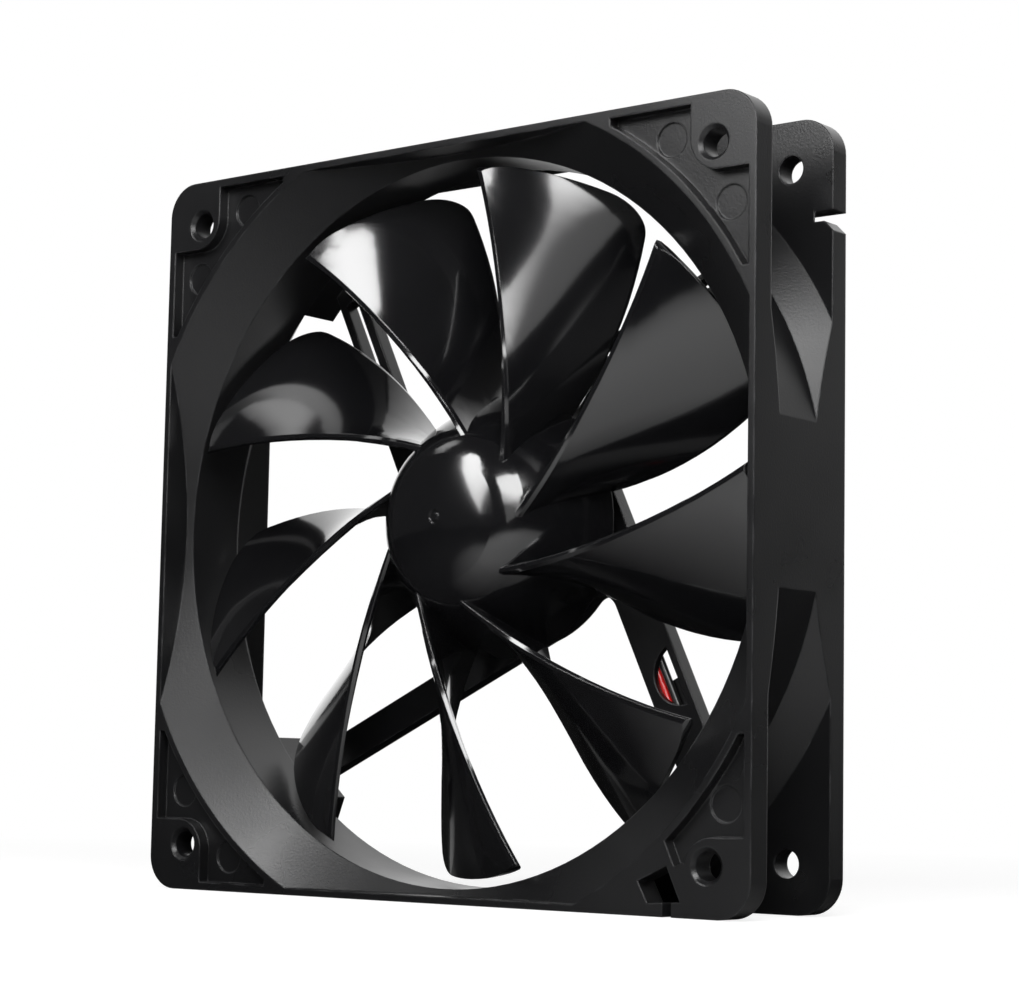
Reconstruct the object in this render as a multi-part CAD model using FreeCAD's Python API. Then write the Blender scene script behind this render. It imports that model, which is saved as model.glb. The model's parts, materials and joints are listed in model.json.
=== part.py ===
"""Case fan, 120 mm square and 25 mm deep, as an assembly of its separate pieces.

The fan is modelled lying on its back: the spin axis is Z, the intake side faces +Z, and the
front view is the plan view, with X to the right and Y up. Every piece is stood up at the end,
so that the finished fan spins about Y, its intake faces -Y and Z is up.
"""
import FreeCAD, Part
import math
import os
from FreeCAD import Placement, Rotation, Vector

# ---------------------------------------------------------------- frame, driving sizes (mm)
FRAME_SIDE = 120.0
FRAME_DEPTH = 25.0
CORNER_RADIUS = 5.5
FLANGE_THICK = 4.2          # front flange
REAR_FLANGE_THICK = 3.7
HOLE_INSET = 7.5            # hole centre to the side of the frame
HOLE_RADIUS = 2.15
HOLE_MOUTH_RADIUS = 2.75
HOLE_MOUTH_DEPTH = 0.6
BORE_INSET = 2.0            # bore to the side of the frame, at its nearest
DUCT_WALL = 3.3
FLARE_RIM = 1.1             # edge left between a flare and the side of the frame
FRONT_FLARE_REACH = 5.7     # flare radius at the face, past half the side
FRONT_FLARE_DEPTH = 5.7
REAR_FLARE_REACH = 5.4
REAR_FLARE_DEPTH = 8.5
OUTER_FLARE_REACH = 6.2     # outside of the duct where it meets a flange
FRONT_OUTER_FLARE = 2.6     # depth of the duct's outer cone behind the front flange
REAR_OUTER_FLARE = 4.4
FLARE_RIB = 1.1             # raised rib round the front flare
POCKET_RIM = 1.3
POCKET_DEPTH = 2.05
POCKET_END = 26.3           # blunt end of a corner pocket, from the side of the frame
BOSS_REACH = 4.1            # boss round a hole, from the hole's centre
BOSS_RADIUS = 5.0
EJECTOR_RADIUS = 2.65
EJECTOR_DEPTH = 0.3
EJECTOR_NEAR = 5.6          # ejector mark, from the near side and from the far one
EJECTOR_FAR = 16.3
LEAD_NOTCH = ((19.4, 5.0), (14.4, 7.3), (12.0, 2.2), (17.7, 1.9))   # in from right and bottom
LEAD_LAND = ((15.0, 11.4), (13.1, 7.3), (11.5, 7.9))    # end of that corner's pocket, likewise
LEAD_SLOT_INSET = 14.25     # slot from the lead notch to the bottom edge
LEAD_SLOT_WIDTH = 1.5
SIDE_SLIT_HEIGHT = 44.7     # slit in the right edge of the rear flange, above the axis
SIDE_SLIT_WIDTH = 1.6
SIDE_SLIT_DEPTH = 3.2       # at the front of that flange; its end leans inward to the back
SIDE_SLIT_LEAN = 3.0

# ---------------------------------------------------------------- struts and motor base
BASE_RADIUS = 19.6
BASE_WALL = 1.5
BASE_FLOOR = 1.4
STRUT_DEPTH = 2.75
STRUT_ANGLE = 25.5          # direction of the first strut, counter-clockwise from +X
# Each strut's near side, from the spin axis, and its width: upper right, upper left, lower left,
# and lower right, which carries the leads.
STRUTS = ((13.5, 5.8), (13.4, 5.6), (14.3, 5.2), (12.3, 7.2))
STRUT_FILLET = 3.0
SLOTS = ((16.6, 1.8), (15.1, 2.4))       # near side and width of the two upper struts' open slots
SLOT_START = 26.0
CHANNEL_OFFSET = 13.4       # near side of the lead channel, from the spin axis
CHANNEL_WIDTH = 4.8
CHANNEL_ROOF = 1.1
CHANNEL_END_GAP = 2.0       # channel stops short of the bore
CHANNEL_TAB = (35.2, 41.0, 0.3)          # tab behind the leads: its two ends and its thickness
THROAT_WIDTH = 3.0          # narrower way from the channel to the outlet
WINDOW_LENGTH = 9.7
WINDOW_WIDTH = 4.2
WINDOW_CENTRE = 35.6        # along the strut, from the point nearest the axis
WEB_OFFSET = 15.8           # middle of a web, from the spin axis
WEB_INNER_REACH = 1.0       # web at a strut's root, outside the bore
WEB_OUTER_BEFORE = 8.4      # web's angles before and after the strut, at the flare and the bore
WEB_OUTER_AFTER = 10.0
WEB_INNER_BEFORE = 5.0
WEB_INNER_AFTER = 7.6
OUTLET_RADIUS = 1.9
OUTLET_REACH = 6.0          # lead outlet behind the duct, from the bore

# ---------------------------------------------------------------- impeller
BLADE_COUNT = 9
TIP_CLEARANCE = 1.5
NOSE_SETBACK = 1.0
CAP_RADIUS = 30.0           # sphere of the hub's front
CAP_EDGE = 12.7             # where it turns into the skirt, from the spin axis
CAP_EDGE_ROUND = 9.0
SKIRT_BULGE = 0.9           # how far the skirt stands out half-way down
HUB_RIM_RADIUS = 21.5
HUB_WALL = 1.5
ROTOR_GAP = 2.95            # hub rim to the front of the motor base
GATE_MARK_RADIUS = 1.15
GATE_MARK_DEPTH = 0.25
LEADING_SETBACK = 4.7       # leading edge behind the front face
TIP_FRONT_RADIUS = 1.8      # corners of a blade's tip
TIP_REAR_RADIUS = 4.6
# One blade: share of the way from the axis to the tip, angle of the leading and the trailing edge,
# height of the trailing edge above the hub's rim, camber as a share of the chord, and thickness.
BLADE_RUNS = (0.03, 0.34, 0.66, 0.98)    # shares of the chord where a section is shaped
BLADE_EDGE = 0.5            # share of the thickness left at the bevelled edges
BLADE_THINNING = 0.35       # thickness lost from the leading edge to the trailing edge
BLADE_STATIONS = (
    (0.180, 62.0, 97.0, -0.6, 0.05, 1.6),
    (0.300, 92.0, 95.5, -0.3, 0.09, 1.6),
    (0.440, 106.0, 92.5, 0.1, 0.10, 1.5),
    (0.620, 115.5, 93.0, 0.6, 0.09, 1.3),
    (0.820, 122.0, 96.2, 0.9, 0.08, 1.15),
    (1.020, 127.0, 100.8, 1.5, 0.07, 1.0),
)

# ---------------------------------------------------------------- motor and bearing
SHAFT_RADIUS = 1.5
SHAFT_CLEARANCE = 0.03
SHAFT_TOP = 5.0             # above mid-depth, inside the hub's nose
BEARING_RADIUS = 3.4
BEARING_LENGTH = 8.0
TUBE_RADIUS = 4.6
TUBE_LENGTH = 10.0
TUBE_FLOOR = 0.9            # base left behind the tube
TUBE_SOCKET_WALL = 1.4
THRUST_PAD_THICK = 0.7
CLIP_RADIUS = 2.6
CLIP_THICK = 0.3
CLIP_GROOVE = 0.3
CLIP_CLEARANCE = 0.02
END_PLAY = 0.1
SEAL_THICK = 0.5
SLINGER_RADIUS = 2.9
SLINGER_THICK = 0.4
BOSS_BUSH_RADIUS = 4.0
YOKE_RADIUS = 16.4
YOKE_WALL = 0.9
YOKE_CLEARANCE = 0.05
YOKE_HEIGHT = 6.3
YOKE_RIM_GAP = 0.3
MAGNET_THICK = 1.9
MAGNET_HEIGHT = 4.7
AIR_GAP = 0.35
POLE_COUNT = 4
CORE_HEIGHT = 4.0
CORE_RING_WALL = 2.0
POLE_NECK = 3.0
POLE_SHOE = 1.4
POLE_SPAN = 74.0            # degrees of air gap that one pole covers
INSULATOR_THICK = 0.5
INSULATOR_INSET = 0.2
COIL_THICK = 1.3
COIL_GAP = 0.25
BOARD_THICK = 0.9
BOARD_LIFT = 1.0            # circuit board above the floor of the base
BOARD_GAP = 0.8             # board to the wall of the base
PIN_COUNT = 4
PIN_RADIUS = 0.35
PIN_TAIL = 0.4              # winding pin past the back of the board
PIN_LUG_RADIUS = 1.2
PIN_FROM_RING = 0.7         # winding pin's axis, outside the core's ring
POST_RADIUS = 1.2
WIRE_RADIUS = 0.6
WIRE_GAP = 0.12
WIRE_START = 5.0            # wires' soldered ends, along the lead strut

# ---------------------------------------------------------------- places that follow from them
HALF = FRAME_SIDE / 2
FRONT = FRAME_DEPTH / 2
REAR = -FRAME_DEPTH / 2
FLANGE_BACK = FRONT - FLANGE_THICK
FLANGE_TOP = REAR + REAR_FLANGE_THICK
HOLE_AT = HALF - HOLE_INSET
BORE = HALF - BORE_INSET
TIP_RADIUS = BORE - TIP_CLEARANCE
STRUT_TOP = REAR + STRUT_DEPTH
FLOOR_TOP = REAR + BASE_FLOOR
RIM_Z = STRUT_TOP + ROTOR_GAP
NOSE_Z = FRONT - NOSE_SETBACK
LEADING_Z = FRONT - LEADING_SETBACK
TUBE_BOTTOM = REAR + TUBE_FLOOR
TUBE_TOP = TUBE_BOTTOM + TUBE_LENGTH
PAD_TOP = TUBE_BOTTOM + THRUST_PAD_THICK
SHAFT_BOTTOM = PAD_TOP + END_PLAY
CLIP_BOTTOM = SHAFT_BOTTOM + CLIP_GROOVE
BEARING_BOTTOM = CLIP_BOTTOM + CLIP_THICK + END_PLAY
BEARING_TOP = BEARING_BOTTOM + BEARING_LENGTH
BOARD_BOTTOM = FLOOR_TOP + BOARD_LIFT
BOARD_TOP = BOARD_BOTTOM + BOARD_THICK
BOARD_RADIUS = BASE_RADIUS - BASE_WALL - BOARD_GAP
YOKE_BOTTOM = RIM_Z + YOKE_RIM_GAP
YOKE_TOP = YOKE_BOTTOM + YOKE_HEIGHT
MAGNET_RADIUS = YOKE_RADIUS - YOKE_WALL
MAGNET_BOTTOM = YOKE_BOTTOM + 0.2
POLE_RADIUS = MAGNET_RADIUS - MAGNET_THICK - AIR_GAP
CORE_BOTTOM = MAGNET_BOTTOM + (MAGNET_HEIGHT - CORE_HEIGHT) / 2 - 0.25
CORE_TOP = CORE_BOTTOM + CORE_HEIGHT
CORE_RING = TUBE_RADIUS + CORE_RING_WALL
PIN_CIRCLE = CORE_RING + PIN_FROM_RING
CHANNEL_TOP = STRUT_TOP - CHANNEL_ROOF
CHANNEL_START = WIRE_START - 2.0
LEAD_ANGLE = STRUT_ANGLE - 90.0
LEAD_OFFSET = CHANNEL_OFFSET + THROAT_WIDTH / 2
WIRE_Z = CHANNEL_TOP - WIRE_RADIUS - WIRE_GAP


# ---------------------------------------------------------------- simple shapes
def disc(radius, low, high, centre=(0.0, 0.0)):
    return Part.makeCylinder(radius, high - low, Vector(centre[0], centre[1], low))


def ring(outer, inner, low, high, centre=(0.0, 0.0)):
    return disc(outer, low, high, centre).cut(disc(inner, low, high, centre))


def block(x0, x1, y0, y1, low, high):
    return Part.makeBox(x1 - x0, y1 - y0, high - low, Vector(x0, y0, low))


def prism(points, low, high):
    corners = [Vector(x, y, low) for x, y in points]
    face = Part.Face(Part.makePolygon(corners + corners[:1]))
    return face.extrude(Vector(0, 0, high - low))


def turned(profile):
    """A solid of revolution about Z from (radius, height) points."""
    corners = [Vector(r, 0, z) for r, z in profile]
    face = Part.Face(Part.makePolygon(corners + corners[:1]))
    return face.revolve(Vector(0, 0, 0), Vector(0, 0, 1), 360)


def spun(shape, angle):
    copy = shape.copy()
    copy.rotate(Vector(0, 0, 0), Vector(0, 0, 1), angle)
    return copy


def around(shape, count, start=0.0):
    return [spun(shape, start + 360.0 * i / count) for i in range(count)]


def fused(shapes):
    return shapes[0].multiFuse(shapes[1:]).removeSplitter()


def polar(radius, angle):
    return radius * math.cos(math.radians(angle)), radius * math.sin(math.radians(angle))


def rounded_plate(side, radius, low, high):
    plate = block(-side / 2, side / 2, -side / 2, side / 2, low, high)
    upright = [e for e in plate.Edges if abs(e.tangentAt(e.FirstParameter).z) > 0.9]
    return plate.makeFillet(radius, upright)


# ---------------------------------------------------------------- frame
def duct_outside():
    """The duct's outside: a cylinder with a cone out to each flange, cut flat at the four sides."""
    outer = BORE + DUCT_WALL
    reach = HALF + OUTER_FLARE_REACH
    body = turned([(0, FLANGE_BACK), (reach, FLANGE_BACK), (outer, FLANGE_BACK - FRONT_OUTER_FLARE),
                   (outer, FLANGE_TOP + REAR_OUTER_FLARE), (reach, FLANGE_TOP), (0, FLANGE_TOP)])
    return body.common(block(-HALF, HALF, -HALF, HALF, FLANGE_TOP, FLANGE_BACK))


def flare(face, depth, reach):
    """The space of one flare: a cone down to the bore, cut by the four sides but for a thin rim."""
    inward = face - math.copysign(depth, face)
    low, high = min(face, inward), max(face, inward)
    cone = turned([(0, inward), (BORE, inward), (HALF + reach, face), (0, face)])
    inside = HALF - FLARE_RIM
    return cone.common(block(-inside, inside, -inside, inside, low, high))


def mount_hole():
    through = disc(HOLE_RADIUS, REAR, FRONT, (HOLE_AT, HOLE_AT))
    mouth = Part.makeCone(HOLE_RADIUS, HOLE_MOUTH_RADIUS, HOLE_MOUTH_DEPTH,
                          Vector(HOLE_AT, HOLE_AT, FRONT - HOLE_MOUTH_DEPTH))
    return through.fuse(mouth)


def hole_boss():
    start = HOLE_AT - BOSS_REACH
    boss = block(start, HALF, start, HALF, FRONT - POCKET_DEPTH, FRONT)
    inner = [e for e in boss.Edges
             if abs(e.CenterOfMass.x - start) < 1e-6 and abs(e.CenterOfMass.y - start) < 1e-6]
    return boss.makeFillet(BOSS_RADIUS, inner)


def corner_pocket(marks):
    """A shallow corner recess between the flare's rib, the rim and the boss, with round marks."""
    end, rim, floor = HALF - POCKET_END, HALF - POCKET_RIM, FRONT - POCKET_DEPTH
    pocket = block(end, rim, end, rim, floor, FRONT)
    rib = HALF + FRONT_FLARE_REACH + FLARE_RIB
    pocket = pocket.cut(disc(rib, floor, FRONT)).cut(hole_boss())
    near, far = HALF - EJECTOR_NEAR, HALF - EJECTOR_FAR
    for centre in ((far, near), (near, far))[:marks]:
        pocket = pocket.fuse(disc(EJECTOR_RADIUS, floor - EJECTOR_DEPTH, floor, centre))
    return pocket


def lead_corner_pocket():
    """The pocket of the lead's corner: one arm only, that ends in a short bent channel."""
    floor = FRONT - POCKET_DEPTH
    pocket = spun(corner_pocket(1), 270.0)
    points = [(HALF - x, y - HALF) for x, y in LEAD_LAND]
    start = HALF - POCKET_END - 1.0
    land = prism([(start, points[0][1])] + points + [(points[-1][0], -HALF), (start, -HALF)], floor, FRONT)
    return pocket.cut(land)


def lead_notch():
    """The opening in the front flange where the lead goes by, with its slot to the edge."""
    opening = prism([(HALF - x, y - HALF) for x, y in LEAD_NOTCH], FLANGE_BACK, FRONT)
    centre = HALF - LEAD_SLOT_INSET
    slot = block(centre - LEAD_SLOT_WIDTH / 2, centre + LEAD_SLOT_WIDTH / 2,
                 -HALF, LEAD_NOTCH[2][1] - HALF + 1.0, FLANGE_BACK, FRONT)
    return opening.fuse(slot)


def side_slit():
    """A slit in from the right side of the rear flange, open at the back and at the side."""
    low, high = SIDE_SLIT_HEIGHT - SIDE_SLIT_WIDTH / 2, SIDE_SLIT_HEIGHT + SIDE_SLIT_WIDTH / 2
    inner = HALF - SIDE_SLIT_DEPTH
    corners = [Vector(x, low, z) for x, z in
               ((HALF, REAR), (HALF, FLANGE_TOP), (inner, FLANGE_TOP), (inner - SIDE_SLIT_LEAN, REAR))]
    slit = Part.Face(Part.makePolygon(corners + corners[:1])).extrude(Vector(0, high - low, 0))
    lead_in = prism([(HALF - SIDE_SLIT_WIDTH, low), (HALF, low), (HALF, low - SIDE_SLIT_WIDTH)],
                    REAR, FLANGE_TOP)
    return slit.fuse(lead_in)


def run_to(offset, radius):
    """How far a line at this offset from the spin axis runs before it meets a circle about it."""
    return math.sqrt(radius ** 2 - offset ** 2)


def struts_plan():
    """The motor base and its struts as one plate, with round inside corners."""
    plates = [Part.Face(Part.Wire(Part.makeCircle(BASE_RADIUS)))]
    for i, (near, width) in enumerate(STRUTS):
        end = run_to(near + width / 2, BORE + WEB_INNER_REACH + 1.0)
        plate = Part.makePlane(end, width, Vector(0, near, 0))
        plates.append(spun(plate, STRUT_ANGLE + 90.0 * i))
    plan = plates[0].multiFuse(plates[1:]).removeSplitter().Faces[0]
    return plan.makeOffset2D(STRUT_FILLET).makeOffset2D(-STRUT_FILLET)


def strut_webs():
    """Webs that fill the rear flare at each strut's root, so the strut meets a thick wall."""
    inner, outer = BORE + WEB_INNER_REACH, HALF + REAR_FLARE_REACH + 0.4
    root = math.degrees(math.atan2(WEB_OFFSET, run_to(WEB_OFFSET, inner)))
    web = prism([polar(inner - 0.6, root - WEB_INNER_BEFORE), polar(outer, root - WEB_OUTER_BEFORE),
                 polar(outer, root + WEB_OUTER_AFTER), polar(inner - 0.6, root + WEB_INNER_AFTER)],
                REAR, REAR + REAR_FLARE_DEPTH)
    web = web.cut(disc(inner, REAR, REAR + REAR_FLARE_DEPTH))
    space = flare(REAR, REAR_FLARE_DEPTH, REAR_FLARE_REACH)
    return [place.common(space) for place in around(web, len(STRUTS), STRUT_ANGLE)]


def strut_slots():
    """The open slots of the two upper struts."""
    slots = []
    for i, (near, width) in enumerate(SLOTS):
        end = run_to(STRUTS[i][0], BORE) - STRUT_FILLET
        slot = block(SLOT_START, end, near, near + width, REAR, STRUT_TOP)
        slots.append(spun(slot, STRUT_ANGLE + 90.0 * i))
    return slots


def lead_way():
    """The leads' way, open at the back: from under the board along the strut to the outlet."""
    near, far = CHANNEL_OFFSET, CHANNEL_OFFSET + CHANNEL_WIDTH
    mouth = run_to(LEAD_OFFSET, BORE - CHANNEL_END_GAP)
    outlet = run_to(LEAD_OFFSET, BORE + OUTLET_REACH)
    tab_start, tab_end, tab_thick = CHANNEL_TAB
    channel = block(CHANNEL_START, mouth, near, far, REAR, CHANNEL_TOP)
    channel = channel.cut(block(tab_start, tab_end, near, far, REAR, REAR + tab_thick))
    throat = block(mouth, outlet, near, near + THROAT_WIDTH, REAR, CHANNEL_TOP)
    hole = disc(OUTLET_RADIUS, REAR, FLANGE_TOP, (outlet, LEAD_OFFSET))
    return spun(channel.multiFuse([throat, hole]), LEAD_ANGLE)


def lead_window():
    """The half-moon window in the front of the lead strut, straight along its outer side."""
    straight = CHANNEL_OFFSET + CHANNEL_WIDTH
    half = WINDOW_LENGTH / 2
    a = Vector(WINDOW_CENTRE - half, straight, CHANNEL_TOP)
    b = Vector(WINDOW_CENTRE, straight - WINDOW_WIDTH, CHANNEL_TOP)
    c = Vector(WINDOW_CENTRE + half, straight, CHANNEL_TOP)
    face = Part.Face(Part.Wire([Part.Arc(a, b, c).toShape(), Part.LineSegment(c, a).toShape()]))
    return spun(face.extrude(Vector(0, 0, CHANNEL_ROOF)), LEAD_ANGLE)


def frame():
    body = duct_outside().multiFuse([rounded_plate(FRAME_SIDE, CORNER_RADIUS, FLANGE_BACK, FRONT),
                                     rounded_plate(FRAME_SIDE, CORNER_RADIUS, REAR, FLANGE_TOP)])
    body = body.cut(disc(BORE, REAR, FRONT))
    body = body.cut(flare(FRONT, FRONT_FLARE_DEPTH, FRONT_FLARE_REACH))
    body = body.cut(flare(REAR, REAR_FLARE_DEPTH, REAR_FLARE_REACH))
    spider = struts_plan().extrude(Vector(0, 0, STRUT_DEPTH))
    spider.translate(Vector(0, 0, REAR))
    body = fused([body, spider] + strut_webs())
    recess = disc(BASE_RADIUS - BASE_WALL, FLOOR_TOP, STRUT_TOP)
    socket = ring(TUBE_RADIUS + TUBE_SOCKET_WALL, TUBE_RADIUS, FLOOR_TOP, BOARD_TOP + 0.3)
    cuts = [recess, disc(TUBE_RADIUS, TUBE_BOTTOM, FLOOR_TOP), lead_way(), lead_window(), lead_notch(),
            side_slit()]
    cuts += around(mount_hole(), 4) + strut_slots()
    cuts += [spun(corner_pocket(2), 90.0 * i) for i in range(3)] + [lead_corner_pocket()]
    body = body.cut(cuts)
    posts = [disc(POST_RADIUS, FLOOR_TOP, BOARD_BOTTOM, polar(BOARD_RADIUS - 3.0, a)) for a in (60, 150, 240)]
    return fused([body, socket] + posts)


# ---------------------------------------------------------------- impeller
def hub_outline(offset):
    """The hub's outline, drawn in by an offset: a domed cap, and a skirt that widens to the rim."""
    radius, centre = CAP_RADIUS - offset, NOSE_Z - CAP_RADIUS
    edge, rim = CAP_EDGE - offset * 0.7, HUB_RIM_RADIUS - offset
    apex = Vector(0, 0, centre + radius)
    halfway = Vector(edge / 2, 0, centre + run_to(edge / 2, radius))
    shoulder, foot = Vector(edge, 0, centre + run_to(edge, radius)), Vector(rim, 0, RIM_Z)
    down = foot - shoulder
    bulge = Vector(-down.z, 0, down.x).normalize() * SKIRT_BULGE
    edges = [Part.Arc(apex, halfway, shoulder).toShape(),
             Part.Arc(shoulder, shoulder + down / 2 + bulge, foot).toShape(),
             Part.LineSegment(foot, Vector(0, 0, RIM_Z)).toShape(),
             Part.LineSegment(Vector(0, 0, RIM_Z), apex).toShape()]
    return Part.Face(Part.Wire(edges)).revolve(Vector(0, 0, 0), Vector(0, 0, 1), 360)


def hub_body():
    """The hub before it is hollowed, with the cap's edge rounded."""
    body = hub_outline(0.0)
    edge = [e for e in body.Edges if e.BoundBox.ZLength < 0.01 and abs(e.BoundBox.XMax - CAP_EDGE) < 0.01]
    return body.makeFillet(CAP_EDGE_ROUND, edge)


def hub_cavity():
    """The hub's inside: a seat for the steel yoke, and a hollow nose round the shaft's bush."""
    seat = disc(YOKE_RADIUS + YOKE_CLEARANCE, RIM_Z, YOKE_TOP)
    ledge = YOKE_RADIUS - 2.0
    hollow = hub_outline(HUB_WALL).common(disc(ledge, YOKE_TOP, NOSE_Z))
    post = disc(BOSS_BUSH_RADIUS + HUB_WALL, YOKE_TOP, NOSE_Z)
    bush = disc(BOSS_BUSH_RADIUS, YOKE_TOP, SHAFT_TOP)
    return seat.multiFuse([hollow.cut(post), bush])


def blade_section(share, leading, trailing, lift, camber, thick):
    """One closed blade section, in the plane that faces outward at this distance."""
    reach = share * TIP_RADIUS
    facing = (leading + trailing) / 2
    out = Vector(math.cos(math.radians(facing)), math.sin(math.radians(facing)), 0)
    along = Vector(-out.y, out.x, 0)
    half = reach * math.tan(math.radians((leading - trailing) / 2))
    nose = Vector(half, LEADING_Z, 0)
    tail = Vector(-half, RIM_Z + lift, 0)
    chord = tail - nose
    length = chord.Length
    chord.normalize()
    back = Vector(chord.y, -chord.x, 0)

    def point(run, side):
        spread = side * thick / 2 * (1 - BLADE_THINNING * run)
        bow = 4 * camber * length * run * (1 - run)
        flat = nose + chord * (run * length) + back * (bow + spread)
        return out * reach + along * flat.x + Vector(0, 0, flat.y)

    back_points = [point(run, 1) for run in BLADE_RUNS]
    front_points = [point(run, -1) for run in reversed(BLADE_RUNS)]
    back_curve, front_curve = Part.BSplineCurve(), Part.BSplineCurve()
    back_curve.interpolate(Points=back_points)
    front_curve.interpolate(Points=front_points)
    nose_edge = [front_points[-1], point(0, -BLADE_EDGE), point(0, BLADE_EDGE), back_points[0]]
    tail_edge = [back_points[-1], point(1, BLADE_EDGE), point(1, -BLADE_EDGE), front_points[0]]
    edges = [Part.LineSegment(a, b) for a, b in zip(nose_edge, nose_edge[1:])] + [back_curve]
    edges += [Part.LineSegment(a, b) for a, b in zip(tail_edge, tail_edge[1:])] + [front_curve]
    return Part.Wire([edge.toShape() for edge in edges])


def blade_limits():
    """The space that the blades may fill: inside the bore, with round corners at the tip."""
    front, rear = LEADING_Z + 0.5, RIM_Z + BLADE_STATIONS[-1][3] - 0.1
    tip, fr, rr = TIP_RADIUS, TIP_FRONT_RADIUS, TIP_REAR_RADIUS
    diagonal = 1 - math.sqrt(0.5)
    points = [(0, front), (tip - fr, front), (tip, front - fr), (tip, rear + rr), (tip - rr, rear),
              (HUB_RIM_RADIUS, RIM_Z), (0, RIM_Z)]
    p = [Vector(r, 0, z) for r, z in points]
    front_bend = Vector(tip - fr * diagonal, 0, front - fr * diagonal)
    rear_bend = Vector(tip - rr * diagonal, 0, rear + rr * diagonal)
    edges = [Part.LineSegment(p[0], p[1]).toShape(), Part.Arc(p[1], front_bend, p[2]).toShape(),
             Part.LineSegment(p[2], p[3]).toShape(), Part.Arc(p[3], rear_bend, p[4]).toShape(),
             Part.LineSegment(p[4], p[5]).toShape(), Part.LineSegment(p[5], p[6]).toShape(),
             Part.LineSegment(p[6], p[0]).toShape()]
    return Part.Face(Part.Wire(edges)).revolve(Vector(0, 0, 0), Vector(0, 0, 1), 360)


def impeller():
    blade = Part.makeLoft([blade_section(*station) for station in BLADE_STATIONS], True)
    blade = blade.common(blade_limits())
    body = hub_body().multiFuse(around(blade, BLADE_COUNT))
    mark = ring(GATE_MARK_RADIUS, GATE_MARK_RADIUS / 2, NOSE_Z - GATE_MARK_DEPTH, NOSE_Z)
    return body.cut([hub_cavity(), mark])


# ---------------------------------------------------------------- rotor pieces
def rotor_yoke():
    cup = disc(YOKE_RADIUS, YOKE_BOTTOM, YOKE_TOP)
    inside = disc(YOKE_RADIUS - YOKE_WALL, YOKE_BOTTOM, YOKE_TOP - YOKE_WALL)
    return cup.cut(inside).cut(disc(BOSS_BUSH_RADIUS, YOKE_BOTTOM, YOKE_TOP))


def magnet_ring():
    return ring(MAGNET_RADIUS, MAGNET_RADIUS - MAGNET_THICK, MAGNET_BOTTOM, MAGNET_BOTTOM + MAGNET_HEIGHT)


def shaft_bush():
    low = YOKE_TOP - YOKE_WALL
    return ring(BOSS_BUSH_RADIUS, SHAFT_RADIUS, low, SHAFT_TOP)


def shaft():
    rod = disc(SHAFT_RADIUS, SHAFT_BOTTOM, SHAFT_TOP)
    groove = ring(SHAFT_RADIUS, SHAFT_RADIUS - CLIP_GROOVE, CLIP_BOTTOM, CLIP_BOTTOM + CLIP_THICK)
    return rod.cut(groove)


def retaining_clip():
    gap = SHAFT_RADIUS - CLIP_GROOVE + CLIP_CLEARANCE
    clip = ring(CLIP_RADIUS, gap, CLIP_BOTTOM, CLIP_BOTTOM + CLIP_THICK)
    return clip.cut(block(0, CLIP_RADIUS, -gap * 0.6, gap * 0.6, CLIP_BOTTOM, CLIP_BOTTOM + CLIP_THICK))


def oil_slinger():
    top = YOKE_TOP - YOKE_WALL
    return ring(SLINGER_RADIUS, SHAFT_RADIUS, top - SLINGER_THICK, top)


# ---------------------------------------------------------------- stator pieces
def bearing_tube():
    tube = ring(TUBE_RADIUS, BEARING_RADIUS, TUBE_BOTTOM, TUBE_TOP)
    return tube


def sleeve_bearing():
    return ring(BEARING_RADIUS, SHAFT_RADIUS + SHAFT_CLEARANCE, BEARING_BOTTOM, BEARING_TOP)


def thrust_pad():
    return disc(BEARING_RADIUS, TUBE_BOTTOM, PAD_TOP)


def oil_seal():
    return ring(BEARING_RADIUS, SHAFT_RADIUS + 0.3, BEARING_TOP, BEARING_TOP + SEAL_THICK)


def pole_plan(margin, low, high):
    """The stator's outline: a ring on the tube and four necks, each with a curved shoe."""
    hub = ring(CORE_RING - margin, TUBE_RADIUS, low, high)
    neck_half = POLE_NECK / 2 - margin / 2
    neck = block(CORE_RING - 1.0, POLE_RADIUS - POLE_SHOE / 2, -neck_half, neck_half, low, high)
    outer = POLE_RADIUS - margin
    shoe = ring(outer, POLE_RADIUS - POLE_SHOE, low, high)
    half = POLE_SPAN / 2 - math.degrees(margin / POLE_RADIUS)
    wedge = prism([(0, 0), polar(2 * outer, -half), polar(2 * outer, half)], low, high)
    pole = neck.fuse(shoe.common(wedge))
    return fused([hub] + around(pole, POLE_COUNT, 45.0))


def stator_core():
    return pole_plan(0.0, CORE_BOTTOM, CORE_TOP)


def upper_insulator():
    return pole_plan(INSULATOR_INSET, CORE_TOP, CORE_TOP + INSULATOR_THICK)


def pin_places():
    return [polar(PIN_CIRCLE, 360.0 * i / PIN_COUNT) for i in range(PIN_COUNT)]


def lower_insulator():
    """The lower insulator, with a round lug over each winding pin."""
    low = CORE_BOTTOM - INSULATOR_THICK
    lugs = [disc(PIN_LUG_RADIUS, low, CORE_BOTTOM, place).cut(disc(TUBE_RADIUS, low, CORE_BOTTOM))
            for place in pin_places()]
    return fused([pole_plan(INSULATOR_INSET, low, CORE_BOTTOM)] + lugs)


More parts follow.
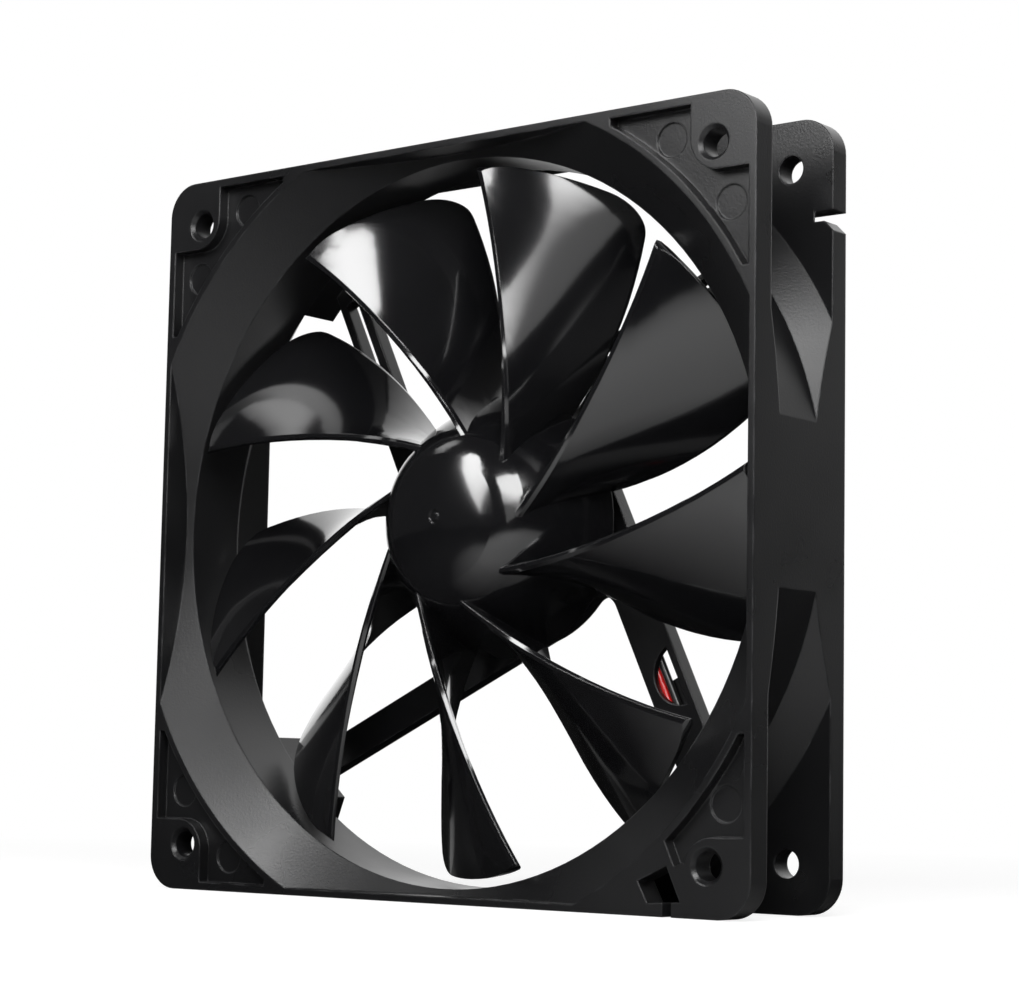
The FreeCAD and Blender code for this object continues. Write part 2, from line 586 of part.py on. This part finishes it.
def coil_windings():
    """One closed winding round each neck, with a hole for the neck and its insulators."""
    half = POLE_NECK / 2
    inner = CORE_RING + COIL_GAP
    outer = run_to(half + COIL_THICK, POLE_RADIUS - POLE_SHOE - COIL_GAP)
    low, high = CORE_BOTTOM - INSULATOR_THICK, CORE_TOP + INSULATOR_THICK
    thick = min(COIL_THICK, YOKE_TOP - YOKE_WALL - high - COIL_GAP)
    coil = block(inner, outer, -half - COIL_THICK, half + COIL_THICK, low - thick, high + thick)
    upright = [e for e in coil.Edges if abs(e.tangentAt(e.FirstParameter).x) > 0.9]
    coil = coil.makeFillet(thick * 0.6, upright)
    coil = coil.cut(block(inner, outer, -half, half, low, high))
    return Part.makeCompound(around(coil, POLE_COUNT, 45.0))


def board_places():
    """Angles for what stands on the board, clear of the posts and the leads."""
    return {"chip": 100.0, "capacitor": 200.0, "resistors": (20.0, 30.0, 130.0, 170.0)}


def circuit_board():
    board = ring(BOARD_RADIUS, TUBE_RADIUS + TUBE_SOCKET_WALL + 0.2, BOARD_BOTTOM, BOARD_TOP)
    return board.cut([disc(PIN_RADIUS, BOARD_BOTTOM, BOARD_TOP, place) for place in pin_places()])


def winding_pins():
    """Pins from the lower insulator's lugs down through the board."""
    top = CORE_BOTTOM - INSULATOR_THICK
    return Part.makeCompound([disc(PIN_RADIUS, BOARD_BOTTOM - PIN_TAIL, top, place)
                              for place in pin_places()])


def driver_chip():
    radius = BOARD_RADIUS - 2.6
    body = block(radius - 1.9, radius + 1.9, -2.5, 2.5, BOARD_TOP + 0.1, BOARD_TOP + 1.2)
    legs = [block(radius + s * 2.3 - 0.6, radius + s * 2.3 + 0.6, y - 0.2, y + 0.2, BOARD_TOP, BOARD_TOP + 0.5)
            for s in (-1, 1) for y in (-1.9, -0.63, 0.63, 1.9)]
    return spun(fused([body] + legs), board_places()["chip"])


def capacitor():
    radius = BOARD_RADIUS - 2.4
    chip = block(radius - 0.8, radius + 0.8, -1.6, 1.6, BOARD_TOP, BOARD_TOP + 1.1)
    return spun(chip, board_places()["capacitor"])


def chip_resistors():
    radius = BOARD_RADIUS - 1.8
    chip = block(radius - 0.4, radius + 0.4, -0.8, 0.8, BOARD_TOP, BOARD_TOP + 0.45)
    return Part.makeCompound([spun(chip, a) for a in board_places()["resistors"]])


def wire_offset(place):
    """Where a lead lies across the channel: place 0 is against its near wall, place 1 beside that."""
    return CHANNEL_OFFSET + WIRE_GAP + WIRE_RADIUS + place * (2 * WIRE_RADIUS + WIRE_GAP)


def wire_run(place):
    """One lead, from its soldered end along the strut and into the tunnel."""
    end = run_to(LEAD_OFFSET, BORE + OUTLET_REACH) - OUTLET_RADIUS - 0.6
    start = Vector(WIRE_START, wire_offset(place), WIRE_Z)
    return spun(Part.makeCylinder(WIRE_RADIUS, end - WIRE_START, start, Vector(1, 0, 0)), LEAD_ANGLE)


def solder_joints():
    """Two beads that join the leads' ends to the back of the board."""
    low = WIRE_Z - WIRE_RADIUS
    beads = [Part.makeCone(WIRE_RADIUS * 0.8, WIRE_RADIUS, BOARD_BOTTOM - low,
                           Vector(WIRE_START - WIRE_RADIUS, wire_offset(place), low)) for place in (0, 1)]
    return Part.makeCompound([spun(bead, LEAD_ANGLE) for bead in beads])


# ---------------------------------------------------------------- the assembly
NODES = {
    "frame": frame,
    "bearing_tube": bearing_tube,
    "sleeve_bearing": sleeve_bearing,
    "thrust_pad": thrust_pad,
    "oil_seal": oil_seal,
    "stator_core": stator_core,
    "upper_insulator": upper_insulator,
    "lower_insulator": lower_insulator,
    "coil_windings": coil_windings,
    "circuit_board": circuit_board,
    "winding_pins": winding_pins,
    "driver_chip": driver_chip,
    "capacitor": capacitor,
    "chip_resistors": chip_resistors,
    "red_wire": lambda: wire_run(0),
    "black_wire": lambda: wire_run(1),
    "solder_joints": solder_joints,
    "impeller": impeller,
    "rotor_yoke": rotor_yoke,
    "magnet_ring": magnet_ring,
    "shaft_bush": shaft_bush,
    "shaft": shaft,
    "retaining_clip": retaining_clip,
    "oil_slinger": oil_slinger,
}


def main():
    os.makedirs("parts", exist_ok=True)
    upright = Placement(Vector(0, 0, 0), Rotation(Vector(1, 0, 0), 90))
    for name, make in NODES.items():
        shape = make()
        shape.Placement = upright.multiply(shape.Placement)
        shape.exportStep(os.path.join("parts", name + ".step"))
        box = shape.BoundBox
        print("%-16s solids %2d valid %s volume %9.1f  x %.1f..%.1f y %.1f..%.1f z %.1f..%.1f" % (
            name, len(shape.Solids), shape.isValid(), shape.Volume, box.XMin, box.XMax,
            box.YMin, box.YMax, box.ZMin, box.ZMax))


main()
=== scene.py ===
"""Looks of the case fan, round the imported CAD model. All lengths are in metres."""

import json
import math

import bpy
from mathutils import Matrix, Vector


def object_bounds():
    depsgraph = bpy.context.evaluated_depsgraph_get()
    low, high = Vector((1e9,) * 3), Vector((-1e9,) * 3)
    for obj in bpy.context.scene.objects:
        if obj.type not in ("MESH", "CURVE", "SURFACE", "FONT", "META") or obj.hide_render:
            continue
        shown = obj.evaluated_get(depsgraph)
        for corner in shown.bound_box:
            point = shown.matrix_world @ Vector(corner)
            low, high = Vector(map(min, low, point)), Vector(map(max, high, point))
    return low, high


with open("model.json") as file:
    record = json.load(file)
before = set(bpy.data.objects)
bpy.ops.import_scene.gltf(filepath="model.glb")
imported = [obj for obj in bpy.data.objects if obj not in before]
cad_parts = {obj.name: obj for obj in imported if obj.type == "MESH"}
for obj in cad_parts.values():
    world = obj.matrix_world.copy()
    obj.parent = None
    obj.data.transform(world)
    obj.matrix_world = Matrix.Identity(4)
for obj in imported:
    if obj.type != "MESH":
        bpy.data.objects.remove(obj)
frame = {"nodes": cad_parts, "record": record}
cad_low, cad_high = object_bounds()
SCENE = bpy.context.scene

WHITE = (1.0, 1.0, 1.0, 1.0)


# ---------------------------------------------------------------- node helpers
class Graph:
    """A material's or the world's node tree, with short calls that add and link nodes."""

    def __init__(self, owner):
        owner.use_nodes = True
        self.tree = owner.node_tree
        self.tree.nodes.clear()

    def add(self, kind, inputs=None, **settings):
        node = self.tree.nodes.new(kind)
        for key, value in settings.items():
            setattr(node, key, value)
        for key, value in (inputs or {}).items():
            self.put(node.inputs[key], value)
        return node

    def put(self, socket, value):
        if isinstance(value, bpy.types.NodeSocket):
            self.tree.links.new(value, socket)
        else:
            socket.default_value = value

    def math(self, operation, a, b, clamp=False):
        node = self.add("ShaderNodeMath", {0: a, 1: b}, operation=operation)
        node.use_clamp = clamp
        return node.outputs[0]

    def vector(self, operation, *inputs, output="Value"):
        node = self.add("ShaderNodeVectorMath", dict(enumerate(inputs)), operation=operation)
        return node.outputs[output]

    def mix(self, factor, a, b):
        """Mix two colours."""
        node = self.add("ShaderNodeMix", data_type="RGBA")
        for name, value in (("Factor_Float", factor), ("A_Color", a), ("B_Color", b)):
            self.put(next(s for s in node.inputs if s.identifier == name), value)
        return next(s for s in node.outputs if s.identifier == "Result_Color")

    def blend(self, factor, a, b):
        """Mix two shaders: a where the factor is 0, b where it is 1."""
        return self.add("ShaderNodeMixShader", {0: factor, 1: a, 2: b}).outputs[0]

    def spread(self, value, low, high, out_low, out_high):
        """Map a value from low..high to out_low..out_high, and hold it there."""
        inputs = dict(enumerate((value, low, high, out_low, out_high)))
        return self.add("ShaderNodeMapRange", inputs).outputs[0]

    def noise(self, scale, detail, stretch=None):
        """Noise over the piece's own coordinates, from 0 to 1, with scale spots to a metre."""
        where = self.add("ShaderNodeTexCoord").outputs["Object"]
        if stretch:
            where = self.add("ShaderNodeMapping", {"Vector": where, "Scale": stretch}).outputs[0]
        return self.add("ShaderNodeTexNoise", {"Vector": where, "Scale": scale, "Detail": detail,
                                               "Roughness": 0.5}).outputs[0]

    def bump(self, marks, height, **inputs):
        return self.add("ShaderNodeBump", {"Strength": 1.0, "Distance": height, "Height": marks,
                                           **inputs}).outputs[0]

    def diffuse(self, level):
        return self.add("ShaderNodeBsdfDiffuse", {"Color": (level, level, level, 1.0)}).outputs[0]

    def emission(self, strength):
        return self.add("ShaderNodeEmission", {"Color": WHITE, "Strength": strength}).outputs[0]

    def background(self, strength):
        return self.add("ShaderNodeBackground", {"Color": WHITE, "Strength": strength}).outputs[0]

    def finish(self, shader, kind="ShaderNodeOutputMaterial"):
        self.add(kind, {"Surface": shader})


# ---------------------------------------------------------------- materials
NOISE_SPAN = (0.3, 0.7)         # the part of a noise's range that is used
TONE_SPAN = (0.35, 0.7)         # the same for a moulding's tone
CLOUD_SCALE = 35.0              # slow changes of tone and gloss over a moulding
CLOUD_TONE = 1.25               # the colour's factor where a cloud is brightest
EDGE_TURN = (0.995, 0.86)       # cosine of an edge's turn, from none to full wear and painted edge highlight
WEAR_AND_GLINT_SCALE = 260.0              # patches of wear and painted edge highlight along an edge
WEAR_AND_GLINT_SPAN = (0.42, 0.62)        # the noise's values over which a patch sets in
WEAR_AND_GLINT_TINT = 0.55                # how far wear and the painted edge highlight change the colour, and how far wear changes the roughness
WEAR_ROUGH = 0.08
COAT_ROUGH = 0.09
METAL_CLOUD_SCALE = 90.0
METAL_CLOUD_TONE = 0.85         # the colour's factor where a metal is darkest
METAL_POLISH, METAL_WEAR = 0.8, 1.25    # factors of a metal's roughness, from low marks to high


def colour(value, factor=1.0):
    return (*(c * factor for c in value), 1.0)


def moulded(name, base, wear_and_glint, rough, rough_span, grain, grain_height, edge, coat=0.0, specular=0.5):
    """Moulded plastic: cloudy roughness, fine grain, soft edges that are a little worn, their
    lighter colour there partly a painted edge highlight.
    """
    material = bpy.data.materials.new(name)
    g = Graph(material)
    cloud = g.noise(CLOUD_SCALE, 4.0)
    fine = g.noise(grain, 2.0)
    soft = g.add("ShaderNodeBevel", {"Radius": edge}, samples=4).outputs[0]
    flat = g.add("ShaderNodeNewGeometry").outputs["Normal"]
    turn = g.vector("DOT_PRODUCT", soft, flat)
    wear_and_glint_mask = g.spread(turn, *EDGE_TURN, 0.0, 1.0)
    patches = g.spread(g.noise(WEAR_AND_GLINT_SCALE, 3.0), *WEAR_AND_GLINT_SPAN, 0.0, 1.0)
    wear_and_glint_mask = g.math("MULTIPLY", wear_and_glint_mask, patches, clamp=True)
    tint = g.mix(g.spread(cloud, *TONE_SPAN, 0.0, 1.0), colour(base), colour(base, CLOUD_TONE))
    # Edges take the worn colour: real wear, and on the housing also a painted edge highlight.
    tint = g.mix(g.math("MULTIPLY", wear_and_glint_mask, WEAR_AND_GLINT_TINT), tint, colour(wear_and_glint))
    roughness = g.spread(cloud, *NOISE_SPAN, rough - rough_span, rough + rough_span)
    roughness = g.math("ADD", roughness, g.math("MULTIPLY", wear_and_glint_mask, WEAR_ROUGH), clamp=True)
    g.finish(g.add("ShaderNodeBsdfPrincipled", {
        "Base Color": tint, "Roughness": roughness, "Specular IOR Level": specular,
        "Coat Weight": coat, "Coat Roughness": COAT_ROUGH,
        "Normal": g.bump(fine, grain_height, Normal=soft)}).outputs[0])
    return material


def metal(name, base, rough, grain, grain_height, stretch=None):
    """Worked metal: fine tool marks or grain, with a cloudy tone."""
    material = bpy.data.materials.new(name)
    g = Graph(material)
    marks = g.noise(grain, 3.0, stretch)
    cloud = g.spread(g.noise(METAL_CLOUD_SCALE, 3.0), *NOISE_SPAN, 0.0, 1.0)
    tint = g.mix(cloud, colour(base, METAL_CLOUD_TONE), colour(base))
    g.finish(g.add("ShaderNodeBsdfPrincipled", {
        "Base Color": tint, "Metallic": 1.0,
        "Roughness": g.spread(marks, *NOISE_SPAN, rough * METAL_POLISH, rough * METAL_WEAR),
        "Normal": g.bump(marks, grain_height)}).outputs[0])
    return material


# Plastic: colour, colour where worn (on the housing also a painted edge highlight), roughness and
# its span, grain scale and height, edge radius, and for the housing and the impeller their coat,
# and the housing's specular level.
PLASTICS = {
    # The housing's worn-edge colour is raised so its edges read light, as a painted edge highlight.
    "frame_plastic": ([0.006, 0.006, 0.0065], [0.075, 0.075, 0.078],
                      0.31, 0.07, 2800.0, 0.000017, 0.0004, 0.0, 0.47),
    "impeller_plastic": ([0.004, 0.004, 0.0045], [0.03, 0.03, 0.032],
                         0.13, 0.03, 900.0, 0.000003, 0.0003, 1.0),
    "insulator_plastic": ([0.78, 0.76, 0.70], [0.85, 0.84, 0.8],
                          0.45, 0.06, 1200.0, 0.00002, 0.0002),
    "board": ([0.008, 0.011, 0.009], [0.06, 0.06, 0.05], 0.35, 0.06, 1600.0, 0.00001, 0.0001),
    "chip_plastic": ([0.012, 0.012, 0.013], [0.05, 0.05, 0.05], 0.5, 0.06, 2500.0, 0.00002, 0.0001),
    "ceramic": ([0.50, 0.36, 0.22], [0.6, 0.5, 0.4], 0.5, 0.05, 2500.0, 0.00002, 0.0001),
    "magnet": ([0.05, 0.045, 0.045], [0.12, 0.12, 0.12], 0.6, 0.06, 2000.0, 0.00004, 0.0002),
    "red_insulation": ([0.55, 0.012, 0.012], [0.7, 0.1, 0.1],
                       0.25, 0.05, 1500.0, 0.00001, 0.0001),
    "black_insulation": ([0.012, 0.012, 0.012], [0.05, 0.05, 0.05],
                         0.3, 0.05, 1500.0, 0.00001, 0.0001),
}
# Metal: colour, roughness, scale and height of the marks, and the way they are drawn out.
METALS = {
    "brass": ([0.72, 0.52, 0.22], 0.25, 900.0, 0.00001, (1.0, 12.0, 1.0)),
    "bronze": ([0.52, 0.36, 0.20], 0.45, 2500.0, 0.00003),
    "core_steel": ([0.50, 0.51, 0.53], 0.35, 350.0, 0.00006, (0.05, 8.0, 0.05)),
    "copper": ([0.72, 0.30, 0.14], 0.3, 700.0, 0.00008, (0.2, 4.0, 0.2)),
    "solder": ([0.72, 0.73, 0.75], 0.3, 900.0, 0.00002),
    "yoke_steel": ([0.55, 0.56, 0.58], 0.3, 800.0, 0.00001, (1.0, 10.0, 1.0)),
    "shaft_steel": ([0.65, 0.66, 0.68], 0.15, 1200.0, 0.000005, (1.0, 12.0, 1.0)),
}
MATERIALS = {name: moulded(name, *values) for name, values in PLASTICS.items()}
MATERIALS.update({name: metal(name, *values) for name, values in METALS.items()})

for part in frame["record"]["subparts"]:
    mesh = frame["nodes"][part["node"]].data
    mesh.materials.clear()
    mesh.materials.append(MATERIALS[part["material_slot"]])
    for polygon in mesh.polygons:
        polygon.material_index = 0


# ---------------------------------------------------------------- studio windows
WINDOW_DISTANCE = 0.4


def toward(azimuth, elevation, distance):
    """A point seen from the fan. Azimuth 0 is straight in front, 90 on the right."""
    a, e = math.radians(azimuth), math.radians(elevation)
    return Vector((math.sin(a) * math.cos(e), -math.cos(a) * math.cos(e), math.sin(e))) * distance


def window(name, corners, hot, reach, dim, bright):
    """A flat diffuser panel, as a studio window. Its corners are directions from the fan, and it
    is brightest towards the direction hot, fading over reach (cosines) from bright to dim."""
    mesh = bpy.data.meshes.new(name)
    mesh.from_pydata([toward(az, el, WINDOW_DISTANCE) for az, el in corners], [],
                     [range(len(corners))])
    glow = bpy.data.materials.new(name)
    g = Graph(glow)
    place = g.add("ShaderNodeNewGeometry").outputs["Position"]
    line = g.vector("NORMALIZE", place, output="Vector")
    near = g.vector("DOT_PRODUCT", line, toward(*hot, 1.0))
    g.finish(g.emission(g.spread(near, *reach, dim, bright)))
    mesh.materials.append(glow)
    panel = bpy.data.objects.new(name, mesh)
    SCENE.collection.objects.link(panel)
    panel.visible_camera = False


window("window_high",
       ((-32, 36), (-28, 45), (-19, 49.5), (-11, 49), (-6, 36), (-5, 6), (-10, 13), (-21, 26)),
       (-20, 46), (0.74, 0.96), 5.5, 11.0)
window("window_side", ((15, 34), (64, 46), (67, 34), (48, 2), (32, -2)),
       (40, 70), (0.54, 0.70), 0.8, 10.0)
window("window_left", ((-67, 39), (-69, 53), (-59, 59), (-52, 53), (-53, 41), (-59, 36)),
       (-60, 47), (0.978, 0.9976), 0.1, 1.8)

# ---------------------------------------------------------------- floor
FLOOR_SIDE = 12.0
FLOOR_DROP = 0.0001                         # floor below the fan's lowest edge
SHADOW_LEVEL, SHADOW_GLOW = 0.35, 0.82      # seen near the fan: what keeps a shadow, and the rest
SHADOW_REACH = (0.14, 0.36)                 # distance over which the floor turns plain white
POOL_CENTRE = (0.17, -0.20, 0.0)            # painted pool of light in front, which only gloss shows
POOL_REACH = (0.19, 0.26)
# In gloss the floor is painted: bright in the pool of light, and dark round it, also under the fan,
# as painted shade.
PAINTED_POOL_LEVEL, PAINTED_SHADE_LEVEL, PLAIN_LEVEL = 0.62, 0.02, 0.8

bpy.ops.mesh.primitive_plane_add(size=FLOOR_SIDE, location=(0.0, 0.0, cad_low.z - FLOOR_DROP))
floor = bpy.context.object
floor.name = "floor"
pale = bpy.data.materials.new("floor")
g = Graph(pale)
ray = g.add("ShaderNodeLightPath").outputs
spot = g.add("ShaderNodeNewGeometry").outputs["Position"]
away = g.vector("LENGTH", spot)
pool = g.vector("DISTANCE", spot, POOL_CENTRE)
# painted pool of light, with painted shade round it, seen only in gloss
painted_pool_in_gloss = g.blend(g.spread(pool, *POOL_REACH, 0.0, 1.0),
                   g.diffuse(PAINTED_POOL_LEVEL), g.diffuse(PAINTED_SHADE_LEVEL))
shaded = g.add("ShaderNodeAddShader",
               {0: g.diffuse(SHADOW_LEVEL), 1: g.emission(SHADOW_GLOW)}).outputs[0]
seen = g.blend(g.spread(away, *SHADOW_REACH, 0.0, 1.0), shaded, g.emission(1.0))
unseen = g.blend(ray["Is Glossy Ray"], g.diffuse(PLAIN_LEVEL), painted_pool_in_gloss)
g.finish(g.blend(ray["Is Camera Ray"], unseen, seen))
floor.data.materials.append(pale)

# ---------------------------------------------------------------- world
ROOM_LEVEL = 0.18
BACKDROP = (0.03, 1.25)         # in gloss: the room in front, and the bright backdrop behind
BACKDROP_START = (0.1, 0.75)    # direction's Y over which it comes up
BACKDROP_RIGHT = (0.2, 0.5)     # direction's X over which it falls off to the right
BACKDROP_LEFT_OVER = 0.04

world = bpy.data.worlds.new("studio")
SCENE.world = world
g = Graph(world)
ray = g.add("ShaderNodeLightPath").outputs
axes = g.add("ShaderNodeSeparateXYZ", {0: g.add("ShaderNodeTexCoord").outputs["Generated"]}).outputs
behind = g.spread(axes["Y"], *BACKDROP_START, *BACKDROP)
behind = g.math("MULTIPLY", behind, g.spread(axes["X"], *BACKDROP_RIGHT, 1.0, BACKDROP_LEFT_OVER))
unseen = g.blend(ray["Is Glossy Ray"], g.background(ROOM_LEVEL), g.background(behind))
g.finish(g.blend(ray["Is Camera Ray"], unseen, g.background(1.0)), "ShaderNodeOutputWorld")

# ---------------------------------------------------------------- camera
SCENE.view_settings.view_transform = "Standard"

eye = bpy.data.cameras.new("camera")
eye.sensor_width = 36.0
eye.lens = 90.91
eye.clip_start, eye.clip_end = 0.01, 50.0
camera = bpy.data.objects.new("camera", eye)
SCENE.collection.objects.link(camera)
camera.rotation_mode = "XYZ"
camera.rotation_euler = (1.67818365, -0.0184458817, 0.666524954)
camera.location = (0.258234, -0.319541, -0.040188)
SCENE.camera = camera
